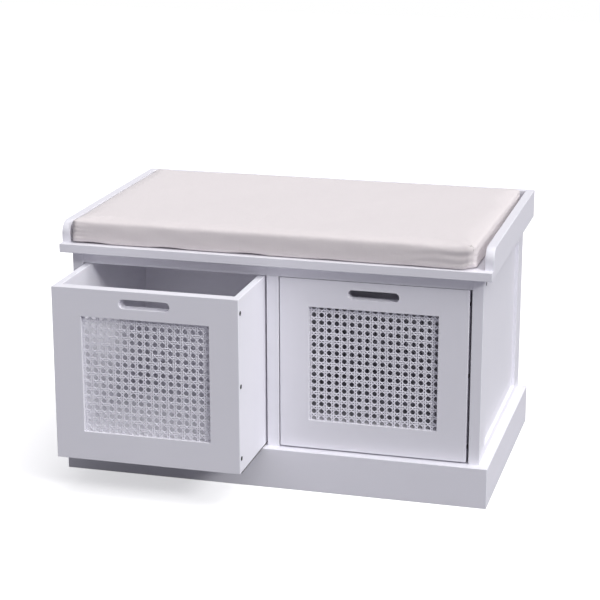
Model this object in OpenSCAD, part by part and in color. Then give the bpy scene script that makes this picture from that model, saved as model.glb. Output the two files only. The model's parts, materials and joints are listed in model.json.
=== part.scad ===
// Entryway storage bench: a painted case with two pull-out boxes and a loose seat cushion.
// Millimetres. +X is the sitter's left-to-right, the front faces -Y, +Z is up.
// The origin is the centre of the plinth's footprint, on the floor.

/* [Case] */
// Width over the two side frames
case_w = 718; // [560:1:900]
// Depth of the side frames, front edge to back edge
case_d = 430; // [340:1:520]
// Height of the side frames, floor to the underside of the seat
case_h = 396; // [320:1:480]
// Thickness of the side frames' stiles and rails
side_t = 19; // [16:0.5:25]
// Width of each stile
stile_w = 50; // [35:1:70]
// Height of the side frames' top rails
side_top_rail_h = 30; // [24:1:60]
// Height of the side frames' bottom rails
side_low_rail_h = 62; // [40:1:80]
// How far the bottom rails show above the plinth
side_low_rail_show = 15; // [5:1:30]
// Thickness of the flat panels in the side frames
side_panel_t = 6; // [4:0.5:8]
// How far the panels lie back from the frames' outer faces
side_recess = 6; // [3:0.5:8]
// Depth of the grooves that hold the side panels
panel_groove = 8; // [5:0.5:12]
// Thickness of the centre divider
divider_t = 21; // [16:0.5:25]
// Thickness of the bottom board
bottom_t = 15; // [12:0.5:18]
// Thickness of the back panel
back_t = 3; // [3:0.5:6]
// How far the back panel's edges lie in from the case's outline
back_inset = 4; // [2:0.5:8]
// Height of the two stretchers under the seat
stretcher_h = 21; // [16:0.5:30]
// Depth of the two stretchers, front to back
stretcher_d = 45; // [30:1:70]
// How far the front stretcher lies back from the case's front edge
stretcher_setback = 1; // [0:0.5:4]

/* [Plinth] */
// Height of the plinth
plinth_h = 71; // [50:1:100]
// Thickness of the plinth boards
plinth_t = 16; // [12:0.5:20]
// Thickness of the support under the middle of the bottom board
support_t = 16; // [12:0.5:20]
// Side of the square glue blocks behind the plinth
block_size = 20; // [15:1:25]
// Length of each glue block
block_l = 60; // [40:1:80]

/* [Seat] */
// Thickness of the seat board
seat_t = 15; // [12:0.5:22]
// How far the seat board passes each side frame
seat_over_side = 16; // [8:0.5:30]
// How far the seat board passes the case's front edge
seat_over_front = 20; // [8:0.5:30]
// How far the seat board passes the back panel
seat_over_back = 17; // [15:0.5:30]
// Height of the arm rails and the back rail
arm_h = 36; // [25:1:60]
// Thickness of the arm rails and the back rail
arm_t = 15; // [12:0.5:20]
// How far the arm rails' front ends lie back from the seat board's front edge
arm_setback = 15; // [5:1:30]
// Radius of the arm rails' round front corners
arm_nose_r = 22; // [8:1:24]

/* [Drawers] */
// Gap at each side of a drawer
drawer_side_gap = 3.25; // [2:0.25:5]
// Gap between a drawer and the front stretcher above it
drawer_top_gap = 1; // [0.5:0.25:3]
// Gap between a closed drawer and the back panel
drawer_back_gap = 0.5; // [0.5:0.25:20]
// Thickness of a drawer's front
front_t = 19; // [16:0.5:22]
// Thickness of a drawer's sides and back
box_t = 12; // [9:0.5:15]
// Thickness of a drawer's bottom
box_bottom_t = 5; // [3:0.5:6]
// Height of a drawer's bottom above its lower edges
box_bottom_up = 8; // [6:0.5:15]
// Depth of the grooves that hold a drawer's bottom
box_groove = 6; // [3:0.5:7]
// Thickness of the felt glides under a drawer's sides
glide_t = 3; // [2:0.5:5]
// Width of the felt glides
glide_w = 10; // [8:0.5:12]
// Length of the felt glides
glide_l = 400; // [250:10:420]
// How far the left drawer stands open
left_open = 151; // [0:1:380]
// How far the right drawer stands left of the middle of its bay
right_drawer_shift = 1.25; // [0:0.25:1.5]
// Width of the hand slot
slot_w = 88; // [70:1:110]
// Height of the hand slot
slot_h = 16; // [14:0.5:30]
// Distance from a drawer's top edge to the hand slot's middle
slot_down = 22; // [20:0.5:40]

/* [Cane windows] */
// Margin between a drawer's side edge and its window
window_side = 50.5; // [40:0.5:70]
// Margin between a drawer's lower edge and its window
window_low = 50; // [40:0.5:70]
// Margin between a drawer's top edge and its window
window_top = 48; // [46:0.5:70]
// How far the cane lies behind the drawer's face
cane_setback = 5; // [4:0.5:8]
// Thickness of the cane webbing
cane_t = 1.5; // [1:0.25:2.5]
// Width of the rebate around the window, behind the face
cane_rebate = 9; // [6:0.5:9]

/* [Cushion] */
// Thickness of the cushion
cushion_h = 44; // [30:1:70]
// Gap between the cushion and each arm rail when it lies in the middle
cushion_side_gap = 7; // [4:0.5:20]
// How far the cushion lies left of the middle of the seat
cushion_shift = 3.5; // [0:0.5:3.5]
// Gap between the cushion and the back rail
cushion_back_gap = 4; // [2:0.5:20]
// How far the cushion's front lies back from the seat board's front edge
cushion_setback = 7; // [0:0.5:40]
// Radius of the cushion's upright corners
cushion_corner_r = 14; // [10:1:40]
// Thickness of the cushion's cover
cover_t = 1; // [0.8:0.1:2]
// Length of the cover's zip
zip_l = 520; // [300:10:560]

/* [Fastenings] */
// Radius of a screw's shank
screw_r = 2; // [1.5:0.1:2.5]
// Radius of a screw's countersunk head
screw_head_r = 3.6; // [3:0.1:4]
// Height of a screw's countersunk head
screw_head_h = 2.6; // [2:0.1:3]
// Radius of a wood dowel
dowel_r = 4; // [3:0.5:4]
// Length of a wood dowel
dowel_l = 30; // [24:1:36]
// Radius of a back panel pin's shank
pin_r = 0.7; // [0.5:0.1:1]
// Radius of a back panel pin's head
pin_head_r = 2; // [1.5:0.1:2.5]

/* [Hidden] */
$fn = 48;
// Clearance of a groove, a rebate or a drilled hole round what it holds
fit = 0.1;
// Clearance under a felt glide and under the cushion
rest_gap = 0.05;
// Overshoot of a cutting shape past the face that it cuts
past = 1;

// Front to back. The footprint runs from the plinth's front to the back panel's rear face.
base_w = case_w + 2 * plinth_t;
base_d = plinth_t + case_d + back_t;
y_case = -base_d / 2 + plinth_t;
y_back = y_case + case_d;
y_rear = base_d / 2;
// Side to side
x_case = case_w / 2;
x_inner = x_case - side_t;
x_panel = x_case - side_recess;
bay_w = x_inner - divider_t / 2;
bay_mid = divider_t / 2 + bay_w / 2;
// Upright
z_seat = case_h + seat_t;
z_stretcher = case_h - stretcher_h;
z_bottom = plinth_h - bottom_t;
z_panel_low = plinth_h + side_low_rail_show;
z_panel_high = case_h - side_top_rail_h;

// Seat board and rails
seat_w = case_w + 2 * seat_over_side;
y_seat = y_case - seat_over_front;
y_seat_rear = y_rear + seat_over_back;
seat_d = y_seat_rear - y_seat;
y_arm = y_seat + arm_setback;
arm_l = y_seat_rear - y_arm;
x_arm = seat_w / 2 - arm_t;
nose_r = min(arm_nose_r, arm_h);

// Drawers
drawer_w = bay_w - 2 * drawer_side_gap;
drawer_d = case_d - drawer_back_gap;
z_box = plinth_h + rest_gap + glide_t;
z_box_top = z_stretcher - drawer_top_gap;
drawer_h = z_box_top - z_box;
box_inner_w = drawer_w - 2 * box_t;
window_w = drawer_w - 2 * window_side;
window_h = drawer_h - window_low - window_top;
rebate_d = front_t - cane_setback;
beading_d = rebate_d - cane_t;

// Cushion
cushion_w = 2 * (x_arm - cushion_side_gap);
y_cushion = y_seat + cushion_setback;
cushion_d = y_seat_rear - arm_t - cushion_back_gap - y_cushion;
z_cushion = z_seat + rest_gap;
zip_h = 6;
zip_up = cushion_h / 2 - zip_h / 2;

// Fastenings. A drawer's screws stop short of the rebate round its window.
box_screw_end = 25;
box_screw_zs = [box_screw_end, drawer_h / 2, drawer_h - box_screw_end];
box_screw_stop = 5.5;
box_screw_l = window_side - cane_rebate - box_screw_stop;
// The case screws pass beside the frame dowels' ends and above the stretchers' lower edges
case_screw_from_dowel = 11;
case_screw_y = stile_w - dowel_l / 2 - case_screw_from_dowel;
case_screw_up = 6;
case_screw_z = z_stretcher + case_screw_up;
case_screw_l = 50;
seat_screw_bite = 9;
seat_screw_l = stretcher_h + seat_screw_bite;
seat_screw_from_side = 60;
seat_screw_from_mid = 40;
seat_screw_xs = [x_inner - seat_screw_from_side, bay_mid - seat_screw_from_mid];
rail_screw_bite = 20;
rail_screw_l = seat_t + rail_screw_bite;
rail_screw_n = 4;
plinth_screw_bite = 11;
plinth_screw_l = side_t + plinth_screw_bite;
plinth_screw_z = plinth_h / 2;
// Dowels: how far one enters a board's face, and the wood left between two that pass
dowel_in_board = 11;
dowel_clear = 2;
divider_dowel_y = 80;
// Pins
pin_l = 16;
pin_head_t = 0.6;
pin_n = 6;
pin_top = 10;
// The pins stand in the middle of what the back panel covers of a stile
pin_x = (x_inner + x_case - back_inset) / 2;

paint = [0.93, 0.93, 0.95];
raw_board = [0.80, 0.72, 0.60];
cane_colour = [0.90, 0.90, 0.92];
fabric = [0.86, 0.83, 0.80];
foam = [0.95, 0.93, 0.80];
zip_tape = [0.75, 0.73, 0.70];
felt = [0.35, 0.33, 0.32];
dark_metal = [0.16, 0.16, 0.17];

// A board from its lowest corner
module board(at, size) {
    translate(at) cube(size);
}

// A board on one side of the case: side is -1 for left and 1 for right, x is its distance
// from the middle to its inner face
module side_board(side, x, y, z, size) {
    translate([side > 0 ? x : -x - size.x, y, z]) cube(size);
}

// A countersunk screw along +Z: its head's flat face is at 0 and its tip at length
module screw(length) {
    cylinder(r1 = screw_head_r, r2 = screw_r, h = screw_head_h);
    translate([0, 0, screw_head_h]) cylinder(r = screw_r, h = length - screw_head_h);
}

// The hole for a screw, with room round it
module screw_hole(length) {
    translate([0, 0, -past])
        cylinder(r = screw_head_r + fit, h = past);
    cylinder(r1 = screw_head_r + fit, r2 = screw_r + fit, h = screw_head_h);
    translate([0, 0, screw_head_h - fit])
        cylinder(r = screw_r + fit, h = length - screw_head_h + 2 * fit);
}

// Either of the two
module screw_or_hole(length, hole) {
    if (hole) screw_hole(length);
    else screw(length);
}

// Screws in from both outer faces of the case, through the sides into the stretchers
module case_screw_set(hole) {
    for (side = [-1, 1], y = [y_case + case_screw_y, y_back - case_screw_y])
        translate([side * x_case, y, case_screw_z])
            rotate([0, -side * 90, 0]) screw_or_hole(case_screw_l, hole);
}

// Screws up through the stretchers into the seat board
module seat_screw_set(hole) {
    for (side = [-1, 1], x = seat_screw_xs, y = [y_case + case_screw_y, y_back - case_screw_y])
        translate([side * x, y, z_stretcher]) screw_or_hole(seat_screw_l, hole);
}

// Screws up through the seat board's overhang into the arm rails and the back rail
module rail_screw_set(hole) {
    for (side = [-1, 1], i = [0 : rail_screw_n - 1])
        translate([side * (x_arm + arm_t / 2), y_arm + arm_l * (i + 0.5) / rail_screw_n, case_h])
            screw_or_hole(rail_screw_l, hole);
    for (i = [0 : rail_screw_n - 1])
        translate([x_arm * (2 * i + 1 - rail_screw_n) / rail_screw_n, y_seat_rear - arm_t / 2, case_h])
            screw_or_hole(rail_screw_l, hole);
}

// Screws out through the side frames' feet into the plinth's side boards
module plinth_screw_set(hole) {
    for (side = [-1, 1], y = [y_case + stile_w / 2, y_back - stile_w / 2])
        translate([side * x_inner, y, plinth_screw_z])
            rotate([0, side * 90, 0]) screw_or_hole(plinth_screw_l, hole);
}

// Dowels along an axis, drilled half into each piece; cut gives the holes
module dowel(cut) {
    extra = cut ? fit : 0;
    translate([0, 0, -dowel_l / 2 - extra])
        cylinder(r = dowel_r + extra, h = dowel_l + 2 * extra);
}

// The side frames' dowels: one in each top rail's end and two in each bottom rail's
module frame_dowel_set(cut) {
    z_low_rail = z_panel_low - side_low_rail_h;
    z_groove = z_panel_high + panel_groove;
    zs = [(z_groove + case_h) / 2, z_low_rail + side_low_rail_h / 4,
          z_low_rail + side_low_rail_h * 3 / 4 - panel_groove / 2];
    for (side = [-1, 1], y = [y_case + stile_w, y_back - stile_w], z = zs)
        translate([side * (x_case - side_t / 2), y, z]) rotate([90, 0, 0]) dowel(cut);
}

// Dowels between the bottom board and the side frames, and up into the divider
module bottom_dowel_set(cut) {
    reach = dowel_l / 2 - dowel_in_board;
    from_edge = stile_w - dowel_l / 2 - 2 * dowel_r - dowel_clear;
    for (side = [-1, 1], y = [y_case + from_edge, y_back - from_edge])
        translate([side * (x_inner - reach), y, z_bottom + bottom_t / 2])
            rotate([0, 90, 0]) dowel(cut);
    for (y = [y_case + divider_dowel_y, y_back - divider_dowel_y])
        translate([0, y, plinth_h + reach]) dowel(cut);
}

// The side frames
module stile(side, y) {
    color(paint) difference() {
        side_board(side, x_inner, y, 0, [side_t, stile_w, case_h]);
        side_board(side, x_panel - side_panel_t - fit, y_case + stile_w - panel_groove - fit,
            z_panel_low - panel_groove - fit,
            [side_panel_t + 2 * fit, case_d - 2 * stile_w + 2 * (panel_groove + fit),
             z_panel_high - z_panel_low + 2 * (panel_groove + fit)]);
        case_screw_set(true);
        plinth_screw_set(true);
        frame_dowel_set(true);
        bottom_dowel_set(true);
        pin_set(true);
    }
}

module side_rail(side, z, height) {
    color(paint) difference() {
        side_board(side, x_inner, y_case + stile_w, z, [side_t, case_d - 2 * stile_w, height]);
        side_board(side, x_panel - side_panel_t - fit, y_case + stile_w - past,
            z_panel_low - panel_groove - fit,
            [side_panel_t + 2 * fit, case_d - 2 * stile_w + 2 * past,
             z_panel_high - z_panel_low + 2 * (panel_groove + fit)]);
        frame_dowel_set(true);
    }
}

module side_panel(side) {
    color(paint)
        side_board(side, x_panel - side_panel_t, y_case + stile_w - panel_groove,
            z_panel_low - panel_groove,
            [side_panel_t, case_d - 2 * stile_w + 2 * panel_groove,
             z_panel_high - z_panel_low + 2 * panel_groove]);
}

// The case's inner boards
module centre_divider() {
    color(paint) difference() {
        board([-divider_t / 2, y_case, plinth_h], [divider_t, case_d, case_h - plinth_h]);
        for (y = [y_case - past, y_back - stretcher_d])
            board([-divider_t / 2 - past, y, z_stretcher],
                [divider_t + 2 * past, stretcher_d + stretcher_setback + past, stretcher_h + past]);
        bottom_dowel_set(true);
        pin_set(true);
    }
}

module bottom_board() {
    color(paint) difference() {
        board([-x_inner, y_case, z_bottom], [2 * x_inner, case_d, bottom_t]);
        bottom_dowel_set(true);
    }
}

module stretcher(y, depth) {
    color(paint) difference() {
        board([-x_inner, y, z_stretcher], [2 * x_inner, depth, stretcher_h]);
        case_screw_set(true);
        seat_screw_set(true);
        pin_set(true);
    }
}

// The back panel, and its pins into the stiles and the divider; cut gives the holes
module pin_set(cut) {
    extra = cut ? fit : 0;
    z_step = (case_h - back_inset - pin_top - z_panel_low) / (pin_n - 1);
    for (x = [-pin_x, 0, pin_x], i = [0 : pin_n - 1])
        translate([x, y_rear, z_panel_low + z_step * i]) rotate([90, 0, 0]) {
            translate([0, 0, -pin_head_t]) cylinder(r = pin_head_r, h = pin_head_t);
            cylinder(r = pin_r + extra, h = pin_l + extra);
        }
}

module back_panel() {
    color(raw_board) difference() {
        board([-x_case + back_inset, y_back, z_bottom],
            [case_w - 2 * back_inset, back_t, case_h - back_inset - z_bottom]);
        pin_set(true);
    }
}

// The plinth
module plinth_side(side) {
    color(paint) difference() {
        side_board(side, x_case, y_case, 0, [plinth_t, case_d + back_t, plinth_h]);
        plinth_screw_set(true);
    }
}

module plinth_front() {
    color(paint) board([-base_w / 2, -base_d / 2, 0], [base_w, plinth_t, plinth_h]);
}

module plinth_back() {
    color(paint) for (side = [-1, 1])
        side_board(side, support_t / 2, y_back - plinth_t, 0,
            [x_inner - support_t / 2, plinth_t, z_bottom]);
}

module centre_support() {
    color(raw_board) board([-support_t / 2, y_case, 0], [support_t, case_d, z_bottom]);
}

module glue_blocks() {
    color(raw_board) for (side = [-1, 1], x = [bay_mid - bay_w / 4, bay_mid + bay_w / 4])
        translate([side * x - block_l / 2, y_case, z_bottom - block_size])
            cube([block_l, block_size, block_size]);
}

// The seat board and its rails
module seat_board() {
    color(paint) difference() {
        board([-seat_w / 2, y_seat, case_h], [seat_w, seat_d, seat_t]);
        seat_screw_set(true);
        rail_screw_set(true);
    }
}

module arm_rail(side) {
    color(paint) difference() {
        translate([side > 0 ? x_arm : -x_arm - arm_t, 0, 0])
            rotate([90, 0, 90]) linear_extrude(arm_t) union() {
                translate([y_arm, z_seat]) square([arm_l, arm_h - nose_r]);
                translate([y_arm + nose_r, z_seat]) square([arm_l - nose_r, arm_h]);
                intersection() {
                    translate([y_arm + nose_r, z_seat + arm_h - nose_r]) circle(nose_r);
                    translate([y_arm, z_seat + arm_h - nose_r]) square(nose_r);
                }
            }
        rail_screw_set(true);
    }
}

module back_rail() {
    color(paint) difference() {
        board([-x_arm, y_seat_rear - arm_t, z_seat], [2 * x_arm, arm_t, arm_h]);
        rail_screw_set(true);
    }
}

// A drawer is drawn in its own frame: x from its middle, y back from its face and z up from
// its lower edge. This puts it in its bay.
module place_drawer(side) {
    x = side < 0 ? -bay_mid : bay_mid - right_drawer_shift;
    y = side < 0 ? y_case - left_open : y_case;
    translate([x, y, z_box]) children();
}

module box_screw_set(hole) {
    for (side = [-1, 1], y = [front_t / 2, drawer_d - box_t / 2], z = box_screw_zs)
        translate([side * drawer_w / 2, y, z])
            rotate([0, -side * 90, 0]) screw_or_hole(box_screw_l, hole);
}

// The drawer's bottom with its clearance, as its neighbours' grooves see it
module bottom_groove() {
    board([-box_inner_w / 2 - box_groove - fit, front_t - box_groove - fit, box_bottom_up - fit],
        [box_inner_w + 2 * (box_groove + fit), drawer_d - front_t - box_t + 2 * (box_groove + fit),
         box_bottom_t + 2 * fit]);
}

module drawer_front() {
    slot_r = slot_h / 2;
    color(paint) difference() {
        board([-box_inner_w / 2, 0, 0], [box_inner_w, front_t, drawer_h]);
        board([-window_w / 2, -past, window_low], [window_w, front_t + 2 * past, window_h]);
        board([-window_w / 2 - cane_rebate, cane_setback, window_low - cane_rebate],
            [window_w + 2 * cane_rebate, rebate_d + past, window_h + 2 * cane_rebate]);
        translate([0, -past, drawer_h - slot_down]) rotate([-90, 0, 0])
            linear_extrude(front_t + 2 * past) union() {
                square([slot_w - slot_h, slot_h], center = true);
                for (side = [-1, 1]) translate([side * (slot_w / 2 - slot_r), 0]) circle(slot_r);
            }
        bottom_groove();
        box_screw_set(true);
    }
}

module drawer_side(side) {
    color(paint) difference() {
        translate([side > 0 ? drawer_w / 2 - box_t : -drawer_w / 2, 0, 0])
            cube([box_t, drawer_d, drawer_h]);
        bottom_groove();
        box_screw_set(true);
    }
}

module drawer_back() {
    color(paint) difference() {
        board([-box_inner_w / 2, drawer_d - box_t, 0], [box_inner_w, box_t, drawer_h]);
        bottom_groove();
        box_screw_set(true);
    }
}

module drawer_bottom() {
    color(paint)
        board([-box_inner_w / 2 - box_groove, front_t - box_groove, box_bottom_up],
            [box_inner_w + 2 * box_groove, drawer_d - front_t - box_t + 2 * box_groove,
             box_bottom_t]);
}

module drawer_cane() {
    edge = cane_rebate - fit;
    color(cane_colour)
        board([-window_w / 2 - edge, cane_setback, window_low - edge],
            [window_w + 2 * edge, cane_t, window_h + 2 * edge]);
}

module drawer_beading() {
    edge = cane_rebate - fit;
    color(paint) {
        for (side = [-1, 1])
            translate([side > 0 ? window_w / 2 : -window_w / 2 - edge, front_t - beading_d,
                       window_low - edge])
                cube([edge, beading_d, window_h + 2 * edge]);
        for (z = [window_low - edge, window_low + window_h])
            board([-window_w / 2, front_t - beading_d, z], [window_w, beading_d, edge]);
    }
}

module drawer_glides() {
    length = min(glide_l, drawer_d);
    color(felt) for (side = [-1, 1])
        translate([side * (drawer_w - box_t) / 2 - glide_w / 2, (drawer_d - length) / 2, -glide_t])
            cube([glide_w, length, glide_t]);
}

// The cushion: foam inside a sewn cover with a zip along its back
module cushion_outline(inset, height) {
    r = cushion_corner_r - inset;
    x = cushion_w / 2 - inset - r;
    translate([-cushion_shift, 0, 0]) linear_extrude(height) union() {
        translate([-x - r, y_cushion + inset + r]) square([2 * (x + r), cushion_d - 2 * (inset + r)]);
        translate([-x, y_cushion + inset]) square([2 * x, cushion_d - 2 * inset]);
        for (side = [-1, 1], y = [y_cushion + inset + r, y_cushion + cushion_d - inset - r])
            translate([side * x, y]) circle(r);
    }
}

module cushion_foam() {
    color(foam)
        translate([0, 0, z_cushion + cover_t])
            cushion_outline(cover_t, cushion_h - 2 * cover_t);
}

module zip_slot(gap) {
    board([-cushion_shift - zip_l / 2 - gap, y_cushion + cushion_d - cover_t,
           z_cushion + zip_up - gap],
        [zip_l + 2 * gap, cover_t, zip_h + 2 * gap]);
}

module cushion_cover() {
    color(fabric) difference() {
        translate([0, 0, z_cushion]) cushion_outline(0, cushion_h);
        translate([0, 0, z_cushion + cover_t]) cushion_outline(cover_t, cushion_h - 2 * cover_t);
        translate([0, past, 0]) zip_slot(fit);
        zip_slot(fit);
    }
}

module cushion_zip() {
    color(zip_tape) zip_slot(0);
}

stile(-1, y_case);  // left_front_stile
stile(-1, y_back - stile_w);  // left_back_stile
side_rail(-1, z_panel_high, side_top_rail_h);  // left_top_rail
side_rail(-1, z_panel_low - side_low_rail_h, side_low_rail_h);  // left_bottom_rail
side_panel(-1);  // left_panel
stile(1, y_case);  // right_front_stile
stile(1, y_back - stile_w);  // right_back_stile
side_rail(1, z_panel_high, side_top_rail_h);  // right_top_rail
side_rail(1, z_panel_low - side_low_rail_h, side_low_rail_h);  // right_bottom_rail
side_panel(1);  // right_panel
centre_divider();
bottom_board();
back_panel();
stretcher(y_case + stretcher_setback, stretcher_d);  // front_stretcher
stretcher(y_back - stretcher_d, stretcher_d);  // back_stretcher
plinth_front();
plinth_side(-1);  // plinth_left
plinth_side(1);  // plinth_right
plinth_back();
centre_support();
glue_blocks();
seat_board();
arm_rail(-1);  // left_arm_rail
arm_rail(1);  // right_arm_rail
back_rail();
color(raw_board) frame_dowel_set(false);  // frame_dowels
color(raw_board) bottom_dowel_set(false);  // bottom_dowels
color(dark_metal) case_screw_set(false);  // case_screws
color(dark_metal) seat_screw_set(false);  // seat_screws
color(dark_metal) rail_screw_set(false);  // rail_screws
color(dark_metal) plinth_screw_set(false);  // plinth_screws
color(dark_metal) pin_set(false);  // back_panel_pins

place_drawer(-1) drawer_front();  // left_drawer_front
place_drawer(-1) drawer_side(-1);  // left_drawer_left_side
place_drawer(-1) drawer_side(1);  // left_drawer_right_side
place_drawer(-1) drawer_back();  // left_drawer_back
place_drawer(-1) drawer_bottom();  // left_drawer_bottom
place_drawer(-1) drawer_cane();  // left_drawer_cane
place_drawer(-1) drawer_beading();  // left_drawer_beading
place_drawer(-1) color(dark_metal) box_screw_set(false);  // left_drawer_screws
place_drawer(-1) drawer_glides();  // left_drawer_glides
place_drawer(1) drawer_front();  // right_drawer_front
place_drawer(1) drawer_side(-1);  // right_drawer_left_side
place_drawer(1) drawer_side(1);  // right_drawer_right_side
place_drawer(1) drawer_back();  // right_drawer_back
place_drawer(1) drawer_bottom();  // right_drawer_bottom
place_drawer(1) drawer_cane();  // right_drawer_cane
place_drawer(1) drawer_beading();  // right_drawer_beading
place_drawer(1) color(dark_metal) box_screw_set(false);  // right_drawer_screws
place_drawer(1) drawer_glides();  // right_drawer_glides

cushion_cover();
cushion_foam();
cushion_zip();
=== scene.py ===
"""An entryway storage bench: painted boards, woven cane, dark screws and a linen seat cushion.

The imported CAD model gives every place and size. This file adds the eased edges, the open weave,
the screw heads, the sewn cushion, the finishes, and a plain studio to look at it in.
"""

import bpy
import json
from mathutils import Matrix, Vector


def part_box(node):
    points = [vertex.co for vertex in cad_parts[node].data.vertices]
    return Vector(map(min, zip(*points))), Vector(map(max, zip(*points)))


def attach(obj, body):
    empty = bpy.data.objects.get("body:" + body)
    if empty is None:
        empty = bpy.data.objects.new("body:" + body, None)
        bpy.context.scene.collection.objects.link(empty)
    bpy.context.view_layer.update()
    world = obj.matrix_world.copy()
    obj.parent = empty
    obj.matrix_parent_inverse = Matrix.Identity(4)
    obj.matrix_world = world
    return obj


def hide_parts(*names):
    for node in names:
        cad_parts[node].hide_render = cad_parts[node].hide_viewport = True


bl_info = {
    "name": "Entryway Bench",
    "version": (1, 0, 0),
    "blender": (4, 5, 0),
    "location": "3D View > Sidebar > Bench",
    "description": "Builds the looks of an entryway storage bench round its CAD model",
    "category": "Object",
}

import json
import math

import bmesh
import bpy
import numpy as np
from bpy.props import FloatProperty, FloatVectorProperty, IntProperty, PointerProperty
from mathutils import Euler, Matrix, Vector
from mathutils.bvhtree import BVHTree

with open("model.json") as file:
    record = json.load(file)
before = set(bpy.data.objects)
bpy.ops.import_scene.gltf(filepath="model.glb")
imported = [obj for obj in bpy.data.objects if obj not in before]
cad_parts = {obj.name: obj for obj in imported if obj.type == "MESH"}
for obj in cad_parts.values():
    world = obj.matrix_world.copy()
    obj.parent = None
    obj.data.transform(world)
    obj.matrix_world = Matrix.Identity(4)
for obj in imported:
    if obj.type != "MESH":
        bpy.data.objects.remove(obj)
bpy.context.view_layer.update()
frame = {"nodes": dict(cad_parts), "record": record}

MM = 0.001
SLOT_OF = {part["node"]: part["material_slot"] for part in frame["record"]["subparts"]}
BODY_OF = {node: body for body, nodes in frame["record"]["behaviour"]["bodies"].items()
           for node in nodes}


# ---------------------------------------------------------------- sizes and colours a user may change

class BenchPaintSettings(bpy.types.PropertyGroup):
    colour: FloatVectorProperty(
        name="Paint", description="Colour of the painted boards", subtype="COLOR",
        size=3, min=0, max=1, default=(0.925, 0.915, 0.97))
    cane_colour: FloatVectorProperty(
        name="Cane", description="Colour of the painted cane", subtype="COLOR",
        size=3, min=0, max=1, default=(0.945, 0.935, 1.0))
    ease: FloatProperty(
        name="Edge Rounding", description="Radius of the boards' sanded edges",
        default=0.9 * MM, min=0.2 * MM, max=3 * MM, unit="LENGTH")
    roughness: FloatProperty(
        name="Roughness", description="Roughness of the satin paint",
        default=0.42, min=0, max=1, subtype="FACTOR")


class BenchCaneSettings(bpy.types.PropertyGroup):
    pitch: FloatProperty(
        name="Hole Pitch", description="Distance from one hole of the cane to the next",
        default=13.2 * MM, min=6 * MM, max=25 * MM, unit="LENGTH")
    strand_width: FloatProperty(
        name="Strand Width", description="Width of a straight strand",
        default=2.05 * MM, min=1 * MM, max=4 * MM, unit="LENGTH")
    diagonal_width: FloatProperty(
        name="Diagonal Width", description="Width of a slanting strand",
        default=1.6 * MM, min=1 * MM, max=4 * MM, unit="LENGTH")
    thickness: FloatProperty(
        name="Strand Thickness", description="Thickness of a strand",
        default=0.48 * MM, min=0.2 * MM, max=1 * MM, unit="LENGTH")
    pair_gap: FloatProperty(
        name="Pair Gap", description="Gap between the two strands of a straight pair",
        default=1.1 * MM, min=0, max=2 * MM, unit="LENGTH")


class BenchScrewSettings(bpy.types.PropertyGroup):
    recess_width: FloatProperty(
        name="Recess Width", description="Width of one slot of the cross recess",
        default=1.1 * MM, min=0.5 * MM, max=2 * MM, unit="LENGTH")
    recess_span: FloatProperty(
        name="Recess Span", description="Span of the cross recess",
        default=4.2 * MM, min=2 * MM, max=6 * MM, unit="LENGTH")
    recess_depth: FloatProperty(
        name="Recess Depth", description="Depth of the cross recess",
        default=1.7 * MM, min=0.5 * MM, max=3 * MM, unit="LENGTH")
    head_rise: FloatProperty(
        name="Head Rise", description="How far a drawer screw's head stands proud of its hole",
        default=0.4 * MM, min=0, max=1 * MM, unit="LENGTH")


class BenchCushionSettings(bpy.types.PropertyGroup):
    colour: FloatVectorProperty(
        name="Linen", description="Colour of the cushion's cover", subtype="COLOR",
        size=3, min=0, max=1, default=(0.855, 0.797, 0.803))
    thread: FloatProperty(
        name="Thread Pitch", description="Distance between the threads of the linen",
        default=0.8 * MM, min=0.4 * MM, max=3 * MM, unit="LENGTH")
    pressure: FloatProperty(
        name="Filling Pressure", description="Pressure of the filling on the cover",
        default=4, min=0, max=20)
    swell: FloatProperty(
        name="Most Swelling", description="Furthest that the filling may push the cover",
        default=3 * MM, min=0, max=20 * MM, unit="LENGTH")
    cell: FloatProperty(
        name="Cover Mesh Size", description="Size of the cover's mesh before it is subdivided",
        default=5 * MM, min=3 * MM, max=12 * MM, unit="LENGTH")


class BenchStudioSettings(bpy.types.PropertyGroup):
    camera_place: FloatVectorProperty(
        name="Camera", description="Place of the camera", subtype="XYZ", unit="LENGTH",
        size=3, default=(0.8196, -3.0348, 1.1860))
    camera_turn: FloatProperty(
        name="Turn", description="Turn of the camera to the left of straight ahead",
        default=0.2665, subtype="ANGLE")
    camera_tilt: FloatProperty(
        name="Tilt", description="Tilt of the camera below the horizon",
        default=0.2822, subtype="ANGLE")
    camera_roll: FloatProperty(
        name="Roll", description="Roll of the camera about its own axis",
        default=0.0017, subtype="ANGLE")
    lens: FloatProperty(
        name="Focal Length", description="Focal length for a 36 mm wide picture, in millimetres",
        default=109.02, min=10, max=300)


SETTINGS = {
    "bench_paint": BenchPaintSettings,
    "bench_cane": BenchCaneSettings,
    "bench_screws": BenchScrewSettings,
    "bench_cushion": BenchCushionSettings,
    "bench_studio": BenchStudioSettings,
}


# ---------------------------------------------------------------- building node trees

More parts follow.
